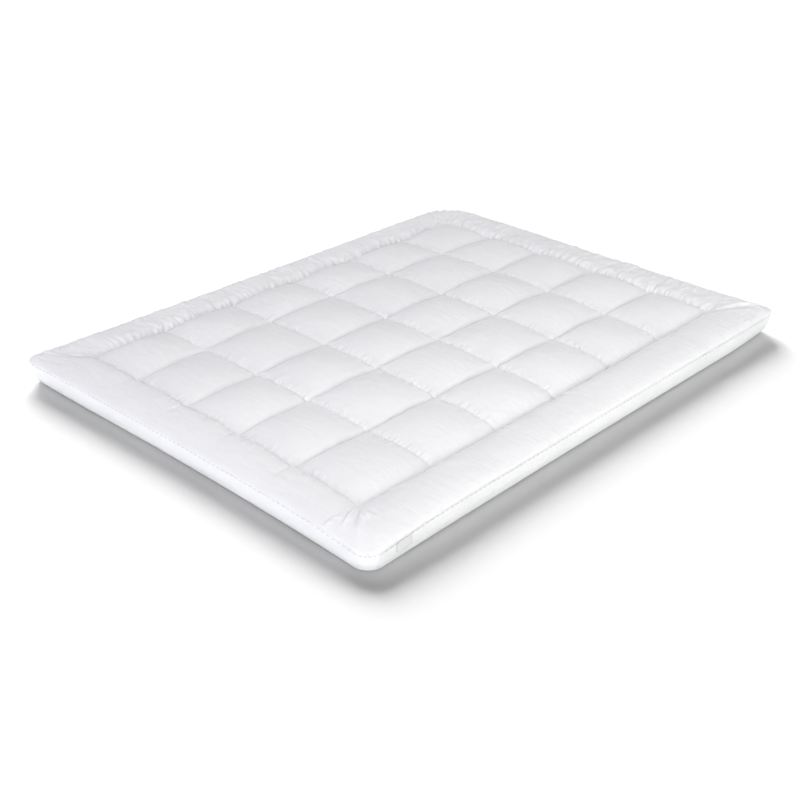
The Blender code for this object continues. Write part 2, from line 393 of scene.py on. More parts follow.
def box_puff(x, y):
    """How far a box's cloth stands above its sewn lines."""
    column, row, across, along = box_place(x, y)
    at_left = (column == 0) & (across < 0)
    hump_x = dome(across, LONG_POWER, np.where(at_left, LEFT_ROOT, LONG_ROOT))
    at_back = (row == BOXES_Y - 1) & (along > 0)
    hump_y = dome(along, CROSS_POWER, np.where(at_back, BACK_ROOT, CROSS_ROOT))
    on_long_line = LONG_LINE_RISE * dome(along, 2, 0.8) * (1 - hump_x)
    filled = BOX_FILL[column, row] * (1 - CROSS_LINE_RISE) * hump_y
    return BOX_PUFF * (on_long_line + hump_x * (CROSS_LINE_RISE + filled))


def full_sides(x, y):
    """1 on the +X side's border, and 1 on the -Y side's, each with a blend at the mitres beside it."""
    share_x, share_y = border_shares(x, y)
    on_right = smooth(-0.25, 0.25, share_x - share_y)
    return np.where(x > 0, on_right, 0.0), np.where(y < 0, 1 - on_right, 0.0)


# The field's low and high corner, each as a column
FIELD_CLIP = (
    np.array([[FIELD_X[0]], [FIELD_Y[0]]]),
    np.array([[FIELD_X[1]], [FIELD_Y[1]]]),
)


def border_height(x, y, share):
    """The border's roll, from the field's outer sewn line (share 0) out to the seam (share 1)."""
    seam = SEAM_HEIGHT - corners_of(x, y).drop * nearness(x, y)
    across = 2 * share**BORDER_CREST - 1
    plain = BORDER_PUFF * dome(across, BORDER_POWER, BORDER_ROOT)
    right = RIGHT_PUFF * dome(across, RIGHT_POWER, RIGHT_ROOT)
    front = FRONT_PUFF * dome(2 * share**FRONT_CREST - 1, FRONT_POWER, FRONT_ROOT)
    on_right, on_front = full_sides(x, y)
    inner = line_level(x, y) + box_puff(*np.clip((x, y), *FIELD_CLIP)) * (1 - share)
    return between(inner, seam, share) + between(between(plain, right, on_right), front, on_front)


def top_surface(x, y):
    """The puffed top without its puckers, at nominal plan points inside the outline."""
    share = np.maximum(*border_shares(x, y))
    inside = share == 0
    height = np.where(inside, line_level(x, y) + box_puff(x, y), border_height(x, y, share))
    place_x, place_y = rounded(x, y, share)[:2]
    place_x, place_y = drawn_in(place_x, place_y, share)
    moved_x, moved_y = as_sewn(x, y)
    return np.stack([place_x + moved_x - x, place_y + moved_y - y, height], axis=1)


class Outline:
    """Places on the outline, from which the wall, the strip and the tag are drawn down."""

    def __init__(self, x, y):
        corner = corners_of(x, y)
        x, y, self.normal_x, self.normal_y = rounded(x, y, 1.0)
        self.x, self.y = drawn_in(x, y, 1.0)
        near = nearness(self.x, self.y)
        self.tuck = corner.tuck * near
        self.seam = SEAM_HEIGHT - corner.drop * near

    def on_wall(self, height, out=0.0):
        """The wall's points at a share of the seam's height, or that far out from the wall."""
        heights = [row.height for row in reversed(WALL)]
        insets = [row.inset for row in reversed(WALL)]
        inset = np.interp(height, heights, insets) + self.tuck * (1.0 - height) - out
        x = self.x - self.normal_x * inset
        y = self.y - self.normal_y * inset
        return np.stack([x, y, height * self.seam], axis=1)


# Puckers: small ridges of cloth, each of which starts at a seam and runs away from it

Pucker = namedtuple("Pucker", "x y turn length width height")
QUILT_LIMIT, BORDER_LIMIT = 0.0062, 0.0105     # puckers that run into each other stand no higher than this
BUNCH_LENGTH = 0.031      # their heights rise and fall once in 2 pi times this

# The rows of gathers along the border's seams. They lean that many radians from square.
Gather = namedtuple("Gather", "start end side pitch length height lean")
LEFT, RIGHT, FRONT, BACK = -WIDTH / 2, WIDTH / 2, -LENGTH / 2, LENGTH / 2
GATHERS = (
    Gather((LEFT, FRONT), (LEFT, BACK), -1, 0.024, 0.110, 0.0062, -0.5),
    Gather((FIELD_X[0], FIELD_Y[0] + 0.04), (FIELD_X[0], FIELD_Y[1]), +1, 0.023, 0.130, 0.0074, -0.5),
    Gather((LEFT, BACK), (RIGHT, BACK), -1, 0.022, 0.110, 0.0050, 0.0),
    Gather((FIELD_X[0], FIELD_Y[1]), (FIELD_X[1], FIELD_Y[1]), +1, 0.019, 0.120, 0.0032, 0.0),
    Gather((RIGHT, FRONT), (RIGHT, BACK), +1, 0.018, 0.050, 0.0010, 0.0),
    Gather((LEFT, FRONT), (RIGHT, FRONT), +1, 0.020, 0.050, 0.0008, 0.0),
)


def puckers_along(start, end, side, pitch, length, height, slant=0.3, width=0.0027, lean=0.0):
    """Puckers side by side along a seam from start to end, on its left (side +1) or right side (-1)."""
    (start_x, start_y), (end_x, end_y) = start, end
    whole = math.hypot(end_x - start_x, end_y - start_y)
    turn = math.atan2(end_y - start_y, end_x - start_x) + side * math.pi / 2 + lean
    made = []
    place = chance.uniform(0.2, 1.0) * pitch
    phase = chance.uniform(0, 2 * math.pi)
    while place < whole:
        share = place / whole
        bunch = 0.80 + 0.20 * math.sin(phase + place / BUNCH_LENGTH)
        size = bunch * chance.uniform(0.6, 1.0)
        made.append(Pucker(
            x=between(start_x, end_x, share),
            y=between(start_y, end_y, share),
            turn=turn + chance.normal(0.0, slant),
            length=length * chance.uniform(0.45, 1.0),
            width=width * chance.uniform(0.8, 1.25),
            height=height * size,
        ))
        place += pitch * chance.uniform(0.75, 1.25)
    return made


def fan(x, y, middle, spread, count, length, height, width=0.0034, clear=0.011):
    """Puckers that spread from a knot, each of which starts a little clear of it."""
    made = []
    for number in range(count):
        share = (number + 0.5) / count - 0.5
        turn = middle + spread * share + chance.normal(0.0, 0.08)
        made.append(Pucker(
            x=x + clear * math.cos(turn),
            y=y + clear * math.sin(turn),
            turn=turn,
            length=length * chance.uniform(0.55, 1.0),
            width=width * chance.uniform(0.8, 1.3),
            height=height * chance.uniform(0.5, 1.0),
        ))
    return made


def scattered(low, high, count, turn, length, height, width=0.0036):
    """Short puckers all over a stretch of the border, most of them near one direction."""
    made = []
    for _ in range(count):
        made.append(Pucker(
            x=chance.uniform(low[0], high[0]),
            y=chance.uniform(low[1], high[1]),
            turn=turn + chance.normal(0.0, 0.55) + math.pi * chance.integers(2),
            length=length * chance.uniform(0.4, 1.0),
            width=width * chance.uniform(0.7, 1.4),
            height=height * chance.uniform(0.3, 1.0) * chance.choice((-0.6, 1.0)),
        ))
    return made


def pucker_lift(x, y, puckers, limit):
    """How far the puckers lift the cloth at plan points."""
    lift = np.zeros_like(x)
    for pucker in puckers:
        from_x, from_y = x - pucker.x, y - pucker.y
        near = np.flatnonzero((np.abs(from_x) < pucker.length) & (np.abs(from_y) < pucker.length))
        cos, sin = math.cos(pucker.turn), math.sin(pucker.turn)
        along = (from_x[near] * cos + from_y[near] * sin) / pucker.length
        across = (from_y[near] * cos - from_x[near] * sin) / pucker.width
        taper = smooth(0.0, 0.12, along) * (1 - smooth(0.20, 1.0, along))
        spread = 0.8 + 0.6 * np.clip(along, 0, 1)
        lift[near] += pucker.height * taper * np.exp(-0.5 * (across / spread) ** 2)
    return limit * np.tanh(lift / limit)


def quilt_puckers():
    """The puckers of the quilt's own lines and knots."""
    lines_x, lines_y = sewn_lines()
    made = []
    for y in lines_y:
        seam = (FIELD_X[0], y), (FIELD_X[1], y)
        for side in (-1, +1):
            made += puckers_along(
                *seam, side, pitch=0.0145, length=0.056, height=0.0056, slant=0.16, width=0.0031, lean=0.25
            )
            made += puckers_along(*seam, side, pitch=0.040, length=0.090, height=0.0022, slant=0.5)
    for x in lines_x:
        seam = (x, FIELD_Y[0]), (x, FIELD_Y[1])
        for side in (-1, +1):
            made += puckers_along(*seam, side, pitch=0.026, length=0.050, height=0.0022, width=0.0065)
    for x in lines_x[1:-1]:
        for y in lines_y[1:-1]:
            for quarter in range(4):
                middle = math.pi / 4 + quarter * math.pi / 2
                made += fan(x, y, middle, spread=1.1, count=3, length=0.055, height=0.0036)
    return made


def border_puckers():
    """The gathers of the border: strong on the two far sides, fine on the two near ones."""
    made = []
    for gather in GATHERS:
        made += puckers_along(**gather._asdict(), slant=0.42, width=0.0046)
    beside_field = (FIELD_X[1], FRONT), (FIELD_X[1], BACK)
    made += puckers_along(
        *beside_field, -1, pitch=0.012, length=0.080, height=0.0044, slant=0.25, width=0.0031, lean=0.6
    )
    made += scattered((LEFT, FRONT), (FIELD_X[0], BACK), count=420, turn=0.0, length=0.070, height=0.0036)
    low, high = (LEFT, FIELD_Y[1]), (RIGHT, BACK)
    made += scattered(low, high, count=380, turn=math.pi / 2, length=0.080, height=0.0046)
    return made


def knot_puckers():
    """Puckers that spread into the borders from the ends of the sewn lines."""
    lines_x, lines_y = sewn_lines()
    made = []
    for y in lines_y[1:-1]:
        made += fan(lines_x[0], y, math.pi, spread=2.0, count=6, length=0.110, height=0.0056)
        made += fan(lines_x[-1], y, 0.0, spread=2.1, count=6, length=0.080, height=0.0034)
    for x in lines_x[1:-1]:
        made += fan(x, lines_y[-1], math.pi / 2, spread=2.0, count=6, length=0.110, height=0.0036)
        made += fan(x, lines_y[0], -math.pi / 2, spread=1.6, count=4, length=0.050, height=0.0018)
    return made


# The large folds at three corners of the field, each a line through plan points. A height below 0 makes a
# groove.
FOLD_CLEARANCE = 0.026    # how far the cloth beside them is drawn smooth
Fold = namedtuple("Fold", "points width height")
FOLDS = (
    # the star at the front corner
    Fold(((0.584, -0.872), (0.578, -0.915)), 0.0036, +0.0050),
    Fold(((0.588, -0.878), (0.604, -0.915), (0.623, -0.968)), 0.0034, +0.0080),
    Fold(((0.598, -0.878), (0.618, -0.910), (0.640, -0.955)), 0.0045, -0.0050),
    Fold(((0.594, -0.874), (0.626, -0.908), (0.680, -0.966)), 0.0032, +0.0085),
    Fold(((0.600, -0.868), (0.628, -0.882), (0.656, -0.900)), 0.0045, +0.0060),
    Fold(((0.602, -0.862), (0.630, -0.862), (0.662, -0.872)), 0.0045, -0.0040),
    # the long curved one at the right corner, and the groove in front of it
    Fold(((0.590, 0.838), (0.610, 0.868), (0.626, 0.906), (0.640, 0.940), (0.660, 0.962), (0.690, 0.970),
          (0.720, 0.962), (0.742, 0.945)), 0.0035, +0.0100),
    Fold(((0.604, 0.834), (0.622, 0.862), (0.640, 0.900), (0.655, 0.930), (0.676, 0.948), (0.700, 0.952),
          (0.730, 0.938)), 0.0046, -0.0045),
    # the creases at the left corner
    Fold(((-0.618, -0.862), (-0.640, -0.876), (-0.672, -0.895)), 0.0040, +0.0050),
    Fold(((-0.612, -0.870), (-0.634, -0.886), (-0.660, -0.904)), 0.0045, -0.0050),
)


def distance_to(points, x, y):
    """How far plan points lie from a line through points, and the share of the line at the nearest place."""
    away, share = np.full(x.shape, np.inf), np.zeros_like(x)
    pieces = len(points) - 1
    for number, ((start_x, start_y), (end_x, end_y)) in enumerate(zip(points, points[1:])):
        run_x, run_y = end_x - start_x, end_y - start_y
        along = ((x - start_x) * run_x + (y - start_y) * run_y) / (run_x**2 + run_y**2)
        along = np.clip(along, 0, 1)
        to_piece = np.hypot(x - start_x - along * run_x, y - start_y - along * run_y)
        share = np.where(to_piece < away, (number + along) / pieces, share)
        away = np.minimum(to_piece, away)
    return away, share


def fold_lift(x, y):
    """How far the large folds lift the cloth at plan points."""
    lift = np.zeros_like(x)
    for fold in FOLDS:
        away, share = distance_to(fold.points, x, y)
        taper = smooth(-0.05, 0.15, share) * (1 - smooth(0.65, 1.0, share))
        lift += fold.height * taper * np.exp(-0.5 * (away / fold.width) ** 2)
    return lift


def pits(x, y):
    """How far the knots of the outer line on the +X side are drawn down."""
    inner = sewn_lines()[1][1:-1]
    to_knot = np.hypot(x - FIELD_X[1], np.abs(y[:, None] - inner).min(1))
    return PIT * bell(to_knot, PIT_WIDTH)


def away_from_folds(x, y):
    """1 away from the large folds, and nearly 0 on them, where the cloth is drawn smooth."""
    nearest = np.min([distance_to(fold.points, x, y)[0] for fold in FOLDS], axis=0)
    return 1 - 0.95 * bell(nearest, FOLD_CLEARANCE)


LUMPS, STREAKS, SOFT_CREASES = 0.0014, 0.0009, 0.0009    # heights


def crumple(x, y):
    """The soft unevenness of filled cloth along its normal: broad lumps, streaks and soft creases."""
    broad = noise_at(x, y, (0.110, 0.090), seed=1)
    streaks = noise_at(x + 0.6 * y, y - 0.6 * x, (0.022, 0.070), seed=2)
    creases = 1 - 2 * np.abs(noise_at(x - 0.4 * y, y + 0.4 * x, (0.050, 0.034), seed=3))
    return LUMPS * broad + STREAKS * streaks + SOFT_CREASES * creases


# The meshes


def graded(start, end, first, most, growth=1.4):
    """Places from start up to just before end: first apart at both ends and most apart in the middle."""
    half = (end - start) / 2
    places, step = [0.0], first
    while places[-1] < half:
        places.append(places[-1] + step)
        step = min(most, step * growth)
    scale = half / places[-1]
    places = [place * scale for place in places]
    places += [2 * half - place for place in reversed(places[:-1])]
    return [start + place for place in places[:-1]]


BORDER_STEPS = 0.0025, 0.009    # first and most, for a mesh's lines over the border


def mesh_lines(field, boxes, half_size, first, most):
    """The places of a mesh's lines along one axis, from one side of the outline to the other."""
    sewn = np.linspace(*field, boxes + 1)
    lines = graded(-half_size, field[0], *BORDER_STEPS)
    for start, end in zip(sewn, sewn[1:]):
        lines += graded(start, end, first, most)
    return lines + graded(field[1], half_size, *BORDER_STEPS) + [half_size]


def add_object(name, mesh, material):
    """A smooth object of this mesh with one material."""
    mesh.shade_smooth()
    mesh.materials.append(material)
    made = bpy.data.objects.new(name, mesh)
    bpy.context.scene.collection.objects.link(made)
    return made


def new_object(name, bm, material):
    """Turns a bmesh into a smooth object with one material."""
    bmesh.ops.recalc_face_normals(bm, faces=bm.faces)
    mesh = bpy.data.meshes.new(name)
    bm.to_mesh(mesh)
    bm.free()
    return add_object(name, mesh, material)


# Edges across puckers are cut where they are longer than FINE_EDGE: near a sewn line along X, over the
# gathered borders, beside the field on the +X side and round the field's corners.
FINE_EDGE = 0.0056
LINE_REACH = 0.029
RIGHT_REACH = 0.070
FOLD_CORNERS = (FIELD_X[1], FIELD_Y[0]), (FIELD_X[1], FIELD_Y[1]), (FIELD_X[0], FIELD_Y[0])
FOLD_SHIFT = (0.04, 0.05)     # from a corner of the field out to the middle of its folds
FOLD_REACH = 0.085


def by_corner(point):
    """Whether a point is near the folds at a corner of the field. All four count, as signs are left out."""
    shift_x, shift_y = FOLD_SHIFT
    from_x, from_y = abs(point.x) - shift_x, abs(point.y) - shift_y
    return min(math.hypot(from_x - abs(x), from_y - abs(y)) for x, y in FOLD_CORNERS) < FOLD_REACH


def gathered_edges(bm):
    """The edges that are too long for the puckers and folds that they cross."""
    lines_y = sewn_lines()[1]
    found = []
    for edge in bm.edges:
        if edge.calc_length() < FINE_EDGE:
            continue
        one, other = (vert.co for vert in edge.verts)
        middle = (one + other) / 2
        if abs(one.x - other.x) > abs(one.y - other.y):
            gathered = np.abs(lines_y - middle.y).min() < LINE_REACH or middle.y > FIELD_Y[1]
        else:
            gathered = middle.x < FIELD_X[0] or FIELD_X[1] < middle.x < FIELD_X[1] + RIGHT_REACH
        if gathered or by_corner(middle):
            found.append(edge)
    return found


def draw_down(bm, edges, points_of, rows):
    """Extrudes a line of edges once for each row of points. points_of gives a vertex's place in a row."""
    for row in rows:
        made = bmesh.ops.extrude_edge_only(bm, edges=edges)["geom"]
        edges = [item for item in made if isinstance(item, bmesh.types.BMEdge)]
        below = {}
        for vert in [item for item in made if isinstance(item, bmesh.types.BMVert)]:
            ends = [edge.other_vert(vert) for edge in vert.link_edges]
            below[vert] = next(points_of[end] for end in ends if end in points_of)
            vert.co = row[below[vert]]
        points_of = below
    return edges


def flat_grid(lines_x, lines_y):
    """A flat mesh on these lines, cut finer where the cloth is puckered."""
    bm = bmesh.new()
    count_x, count_y = len(lines_x) - 1, len(lines_y) - 1
    bmesh.ops.create_grid(bm, x_segments=count_x, y_segments=count_y, size=0.5)
    for vert in bm.verts:
        column = round((vert.co.x + 0.5) * count_x)
        row = round((vert.co.y + 0.5) * count_y)
        vert.co = (lines_x[column], lines_y[row], 0.0)
    bmesh.ops.subdivide_edges(bm, edges=gathered_edges(bm), cuts=2, use_grid_fill=True)
    return bm


def off_sewn_lines(x, y):
    """0 on a sewn line and 1 well away from it."""
    lines_x, lines_y = sewn_lines()
    inside_x = (x > FIELD_X[0] - 0.02) & (x < FIELD_X[1] + 0.02)
    inside_y = (y > FIELD_Y[0] - 0.02) & (y < FIELD_Y[1] + 0.02)
    to_x = np.abs(x[:, None] - lines_x).min(1) + 1.0 * ~inside_y
    to_y = np.abs(y[:, None] - lines_y).min(1) + 1.0 * ~inside_x
    return smooth(0.0, 0.020, np.minimum(to_x, to_y))


def cloth_lift(x, y):
    """How far the cloth is moved along its normal. This fades out at the seam."""
    puckered = pucker_lift(x, y, quilt_puckers(), QUILT_LIMIT)
    puckered += pucker_lift(x, y, border_puckers() + knot_puckers(), BORDER_LIMIT)
    lift = puckered * away_from_folds(x, y) + fold_lift(x, y)
    lift = lift + crumple(x, y) * off_sewn_lines(x, y) - pits(x, y)
    return lift * (1 - smooth(0.86, 1.0, np.maximum(*border_shares(x, y))))


def build_pad(material):
    """The filled pad: its quilted and puckered top, its wall and its flat underside, as one closed form."""
    lines_x = mesh_lines(FIELD_X, BOXES_X, WIDTH / 2, first=0.0016, most=0.0105)
    lines_y = mesh_lines(FIELD_Y, BOXES_Y, LENGTH / 2, first=0.0028, most=0.013)
    bm = flat_grid(lines_x, lines_y)
    x, y = np.array([vert.co.xy for vert in bm.verts]).T
    smooth_top = top_surface(x, y)
    rim = np.flatnonzero(np.maximum(*border_shares(x, y)) > 0.9999)
    outline = Outline(x[rim], y[rim])
    smooth_top[rim] = outline.on_wall(WALL[0].height)
    for vert, point in zip(bm.verts, smooth_top):
        vert.co = point
    bm.normal_update()
    normals = np.array([vert.normal for vert in bm.verts])
    normals *= np.sign(normals[:, 2:].sum())
    for vert, point, normal, height in zip(bm.verts, smooth_top, normals, cloth_lift(x, y)):
        vert.co = point + normal * height

    bm.verts.ensure_lookup_table()
    points_of = {bm.verts[index]: number for number, index in enumerate(rim)}
    edges = [edge for edge in bm.edges if edge.is_boundary]
    foot = draw_down(bm, edges, points_of, [outline.on_wall(row.height) for row in WALL[1:]])
    bmesh.ops.edgeloop_fill(bm, edges=foot)
    return new_object("topper_pad", bm, material)


def rim_places(spacing):
    """Nominal plan points once round the square outline."""
    count_x, count_y = round(WIDTH / spacing), round(LENGTH / spacing)
    xs = np.linspace(-WIDTH / 2, WIDTH / 2, count_x + 1)
    ys = np.linspace(-LENGTH / 2, LENGTH / 2, count_y + 1)
    x = np.concatenate([xs[:-1], np.full(count_y, xs[-1]), xs[:0:-1], np.full(count_y, xs[0])])
    y = np.concatenate([np.full(count_x, ys[0]), ys[:-1], np.full(count_x, ys[-1]), ys[:0:-1]])
    return x, y


def build_band(name, outline, closed, rows, thickness, material):
    """A band of cloth from rows of (share of height, how far out from the wall), thickened outwards."""
    bm = bmesh.new()
    points = [outline.on_wall(height, out) for height, out in rows]
    verts = [bm.verts.new(point) for point in points[0]]
    edges = [bm.edges.new(pair) for pair in zip(verts, verts[1:])]
    if closed:
        edges.append(bm.edges.new((verts[-1], verts[0])))
    draw_down(bm, edges, {vert: number for number, vert in enumerate(verts)}, points[1:])
    made = new_object(name, bm, material)
    shell = made.modifiers.new("thickness", "SOLIDIFY")
    shell.thickness = thickness
    shell.offset = 1.0
    return made


def build_gusset(material):
    """The boxing strip, once round the side, a little slack between its two seams."""
    x, y = rim_places(0.0045)
    outline = Outline(x, y)
    rows = []
    for height in np.linspace(GUSSET_TOP, GUSSET_FOOT, 15):
        slack = dome(2 * (height - GUSSET_FOOT) / (GUSSET_TOP - GUSSET_FOOT) - 1, 2, 0.7)
        broad = noise_at(outline.x, outline.y, (0.23, 0.23), seed=5, z=height * 1.5)
        fine = noise_at(outline.x, outline.y, (0.019, 0.019), seed=6, z=height * 1.2)
        rows.append((height, GAP + slack * (GUSSET_SLACK + GUSSET_WAVE * broad + GUSSET_RIPPLE * fine)))
    return build_band("topper_gusset", outline, True, rows, GUSSET_THICKNESS, material)


def build_tag(material):
    """The blank sewn tag on the +X side, which hangs over the boxing strip."""
    y = np.linspace(TAG_MIDDLE_Y - TAG_WIDTH / 2, TAG_MIDDLE_Y + TAG_WIDTH / 2, 23)
    outline = Outline(np.full_like(y, WIDTH / 2), y)
    across = (y - TAG_MIDDLE_Y) / (TAG_WIDTH / 2)
    on_strip = GAP + TAG_ROOM + GUSSET_THICKNESS + GAP
    rows = []
    for height in np.linspace(TAG_TOP, TAG_FOOT, 13):
        down = (TAG_TOP - height) / (TAG_TOP - TAG_FOOT)
        curl = TAG_CURL * down**2 * (1 - 0.5 * across) + TAG_WAVE * np.sin(3 * across + 2 * down) * down
        rows.append((height, on_strip + curl))
    return build_band("topper_tag", outline, False, rows, TAG_THICKNESS, material)


# A stitch's profile has shares of the way along it and of its radius.
STITCH_SIDES = 6
STITCH_PROFILE = ((0.0, 0.35), (0.18, 0.85), (0.5, 1.0), (0.82, 0.85), (1.0, 0.35))
SEAM_STITCHES_DOWN = 0.035    # below the strip's top, as a share of the seam's height
SEAM_STITCHES_OUT = 0.0010    # from the strip's face to the middle of the thread


def stitch_points(starts, ends, outward, radius):
    """The points of each stitch: one ring of them for each step of the profile."""
    along = ends - starts
    sideways = np.cross(along, outward)
    sideways /= np.linalg.norm(sideways, axis=1)[:, None]
    upward = np.cross(sideways, along)
    upward /= np.linalg.norm(upward, axis=1)[:, None]
    points = []
    for share, size in STITCH_PROFILE:
        for side in range(STITCH_SIDES):
            angle = 2 * math.pi * side / STITCH_SIDES
            turned = sideways * math.cos(angle) + upward * math.sin(angle)
            points.append(starts + along * share + turned * radius * size)
    return np.stack(points, axis=1)


def stitch_faces():
    """The faces between the rings of one stitch, and its two ends."""
    faces = []
    for ring in range(len(STITCH_PROFILE) - 1):
        low, high = ring * STITCH_SIDES, (ring + 1) * STITCH_SIDES
        for side in range(STITCH_SIDES):
            after = (side + 1) % STITCH_SIDES
            faces.append((low + side, low + after, high + after, high + side))
    last = len(STITCH_PROFILE) * STITCH_SIDES
    faces.append(tuple(reversed(range(STITCH_SIDES))))
    faces.append(tuple(range(last - STITCH_SIDES, last)))
    return faces


def build_stitches(name, starts, ends, outward, radius, material):
    """A row of stitches: one small rounded thread from each start to its end."""
    points = stitch_points(starts, ends, outward, radius)
    faces = []
    for number in range(len(points)):
        first = number * points.shape[1]
        faces += [tuple(first + corner for corner in face) for face in stitch_faces()]
    mesh = bpy.data.meshes.new(name)
    mesh.from_pydata(points.reshape(-1, 3).tolist(), [], faces)
    return add_object(name, mesh, material)


def quilt_stitches(material, pitch=0.0070, share=0.62, radius=0.00045):
    """The stitches of the quilt's lines."""
    lines_x, lines_y = sewn_lines()
    starts, ends = [], []
    for fixed, run, along_y in [(x, FIELD_Y, True) for x in lines_x] + [(y, FIELD_X, False) for y in lines_y]:
        places = np.arange(run[0], run[1], pitch)
        for shift, kept in ((0.0, starts), (pitch * share, ends)):
            moving, still = places + shift, np.full(len(places), fixed)
            points = top_surface(*((still, moving) if along_y else (moving, still)))
            kept.append(points + (0.0, 0.0, radius * 0.6))
    starts, ends = np.concatenate(starts), np.concatenate(ends)
    outward = np.tile((0.0, 0.0, 1.0), (len(starts), 1))
    return build_stitches("quilt_stitches", starts, ends, outward, radius, material)


def seam_stitches(material, pitch=0.0190, share=0.68, radius=0.0008):
    """The row of stitches that holds the boxing strip to the top."""
    x, y = rim_places(pitch)
    outline = Outline(x, y)
    starts = outline.on_wall(GUSSET_TOP - SEAM_STITCHES_DOWN, GAP + GUSSET_THICKNESS + SEAM_STITCHES_OUT)
    after = np.roll(starts, -1, axis=0)
    ends = starts + (after - starts) * share
    outward = np.stack([outline.normal_x, outline.normal_y, np.zeros_like(x)], axis=1)
    return build_stitches("seam_stitches", starts, ends, outward, radius, material)


# Materials


SHADER = "Principled BSDF"


def set_sockets(node, values):
    """Gives the named sockets of a node their values."""
    for name, value in values.items():
        node.inputs[name].default_value = value


def new_material(name, values):
    """A material whose shader has these values on its sockets."""
    made = bpy.data.materials.new(name)
    made.use_nodes = True
    set_sockets(made.node_tree.nodes[SHADER], values)
    return made


def add_texture(tree, kind, place, values):
    """A texture with these values on its sockets, read at that place."""
    texture = tree.nodes.new(kind)
    set_sockets(texture, values)
    tree.links.new(place, texture.inputs["Vector"])
    return texture


def add_bump(tree, height, distance, strength=1.0, normal=None):
    """The normal of a bump of this height, on top of an earlier normal if one is given."""
    bump = tree.nodes.new("ShaderNodeBump")
    set_sockets(bump, {"Distance": distance, "Strength": strength})
    tree.links.new(height, bump.inputs["Height"])
    if normal:
        tree.links.new(normal, bump.inputs["Normal"])
    return bump.outputs["Normal"]


def drifting_colour(tree, place, colour, tint):
    """A colour that changes slowly between colour and tint."""
    slow = add_texture(tree, "ShaderNodeTexNoise", place, {"Scale": 5.0, "Detail": 3.0})
    ramp = tree.nodes.new("ShaderNodeValToRGB")
    low, high = ramp.color_ramp.elements
    low.position, low.color = 0.35, (*tint, 1.0)
    high.position, high.color = 0.65, (*colour, 1.0)
    tree.links.new(slow.outputs["Fac"], ramp.inputs["Fac"])
    return ramp.outputs["Color"]


def woven_height(tree, place, weave):
    """The height of a plain weave: the sum of one wave along each axis."""
    values = {"Scale": math.pi / (10 * weave), "Distortion": 0.6, "Detail": 1.0}
    height = None
    for axis in ("X", "Y", "Z"):
        wave = add_texture(tree, "ShaderNodeTexWave", place, values)
        wave.bands_direction = axis
        if height:
            both = tree.nodes.new("ShaderNodeMath")
            both.operation = "ADD"
            tree.links.new(height, both.inputs[0])
            tree.links.new(wave.outputs["Fac"], both.inputs[1])
        height = both.outputs["Value"] if height else wave.outputs["Fac"]
    return height


def creased_normal(tree, place, depth):
    """The normal of the fine slack creases: long ones that run one way, then short ones half as deep."""
    turned = tree.nodes.new("ShaderNodeMapping")
    set_sockets(turned, {"Rotation": (0.0, 0.0, math.radians(-CREASE_TURN)), "Scale": (0.25, 1.0, 1.0)})
    tree.links.new(place, turned.inputs["Vector"])
    normal = None
    for where, scale, share in ((turned.outputs["Vector"], 40.0, 1.0), (place, 60.0, 0.5)):
        values = {"Scale": scale, "Detail": 3.0, "Roughness": 0.5, "Distortion": 0.4}
        creases = add_texture(tree, "ShaderNodeTexNoise", where, values)
        normal = add_bump(tree, creases.outputs["Fac"], depth * share, normal=normal)
    return normal


def cloth(traits):
    """Woven cloth: a slow change of colour, fine creases and a fine weave, in the object's own space."""
    made = new_material(traits.name, {
        "Roughness": traits.roughness,
        "Specular IOR Level": 0.25,
        "Sheen Weight": 0.20,
        "Sheen Roughness": 0.45,
    })
    tree = made.node_tree
    shader = tree.nodes[SHADER]
    place = tree.nodes.new("ShaderNodeTexCoord").outputs["Object"]
    tree.links.new(drifting_colour(tree, place, traits.colour, traits.tint), shader.inputs["Base Color"])
    creased = creased_normal(tree, place, traits.crease_depth)
    height = woven_height(tree, place, traits.weave)
    woven = add_bump(tree, height, traits.weave_depth, strength=0.6, normal=creased)
    tree.links.new(woven, shader.inputs["Normal"])
    return made


def thread(name, colour):
    """Twisted sewing thread."""
    made = new_material(name, {"Base Color": (*colour, 1.0), "Roughness": 0.6})
    tree = made.node_tree
    place = tree.nodes.new("ShaderNodeTexCoord").outputs["Object"]
    twist = add_texture(tree, "ShaderNodeTexWave", place, {"Scale": 600.0})
    twist.bands_direction = "DIAGONAL"
    twisted = add_bump(tree, twist.outputs["Fac"], distance=0.0001)
    tree.links.new(twisted, tree.nodes[SHADER].inputs["Normal"])
    return made


# The studio


def from_angles(azimuth, elevation):
    """The direction from the topper to something at that azimuth and elevation, in degrees."""
    azimuth, elevation = math.radians(azimuth), math.radians(elevation)
    level = math.cos(elevation)
    return Vector((math.sin(azimuth) * level, -math.cos(azimuth) * level, math.sin(elevation)))


def add_camera():
    """The camera at the photograph's angle, with the photograph's slight roll."""
    data = bpy.data.cameras.new("camera")
    data.sensor_width = CAMERA_SENSOR
    data.lens = CAMERA_LENS
    data.clip_start, data.clip_end = 0.05, 100.0
    camera = bpy.data.objects.new("camera", data)
    back = from_angles(CAMERA_AZIMUTH, CAMERA_ELEVATION)
    right = Vector((math.cos(math.radians(CAMERA_AZIMUTH)), math.sin(math.radians(CAMERA_AZIMUTH)), 0.0))
    level = Matrix((right, back.cross(right), back)).transposed().to_4x4()
    turned = level @ Matrix.Rotation(math.radians(CAMERA_ROLL), 4, "Z")
    camera.matrix_world = Matrix.Translation(Vector(CAMERA_AIM) + back * CAMERA_DISTANCE) @ turned
    bpy.context.scene.collection.objects.link(camera)
    bpy.context.scene.camera = camera


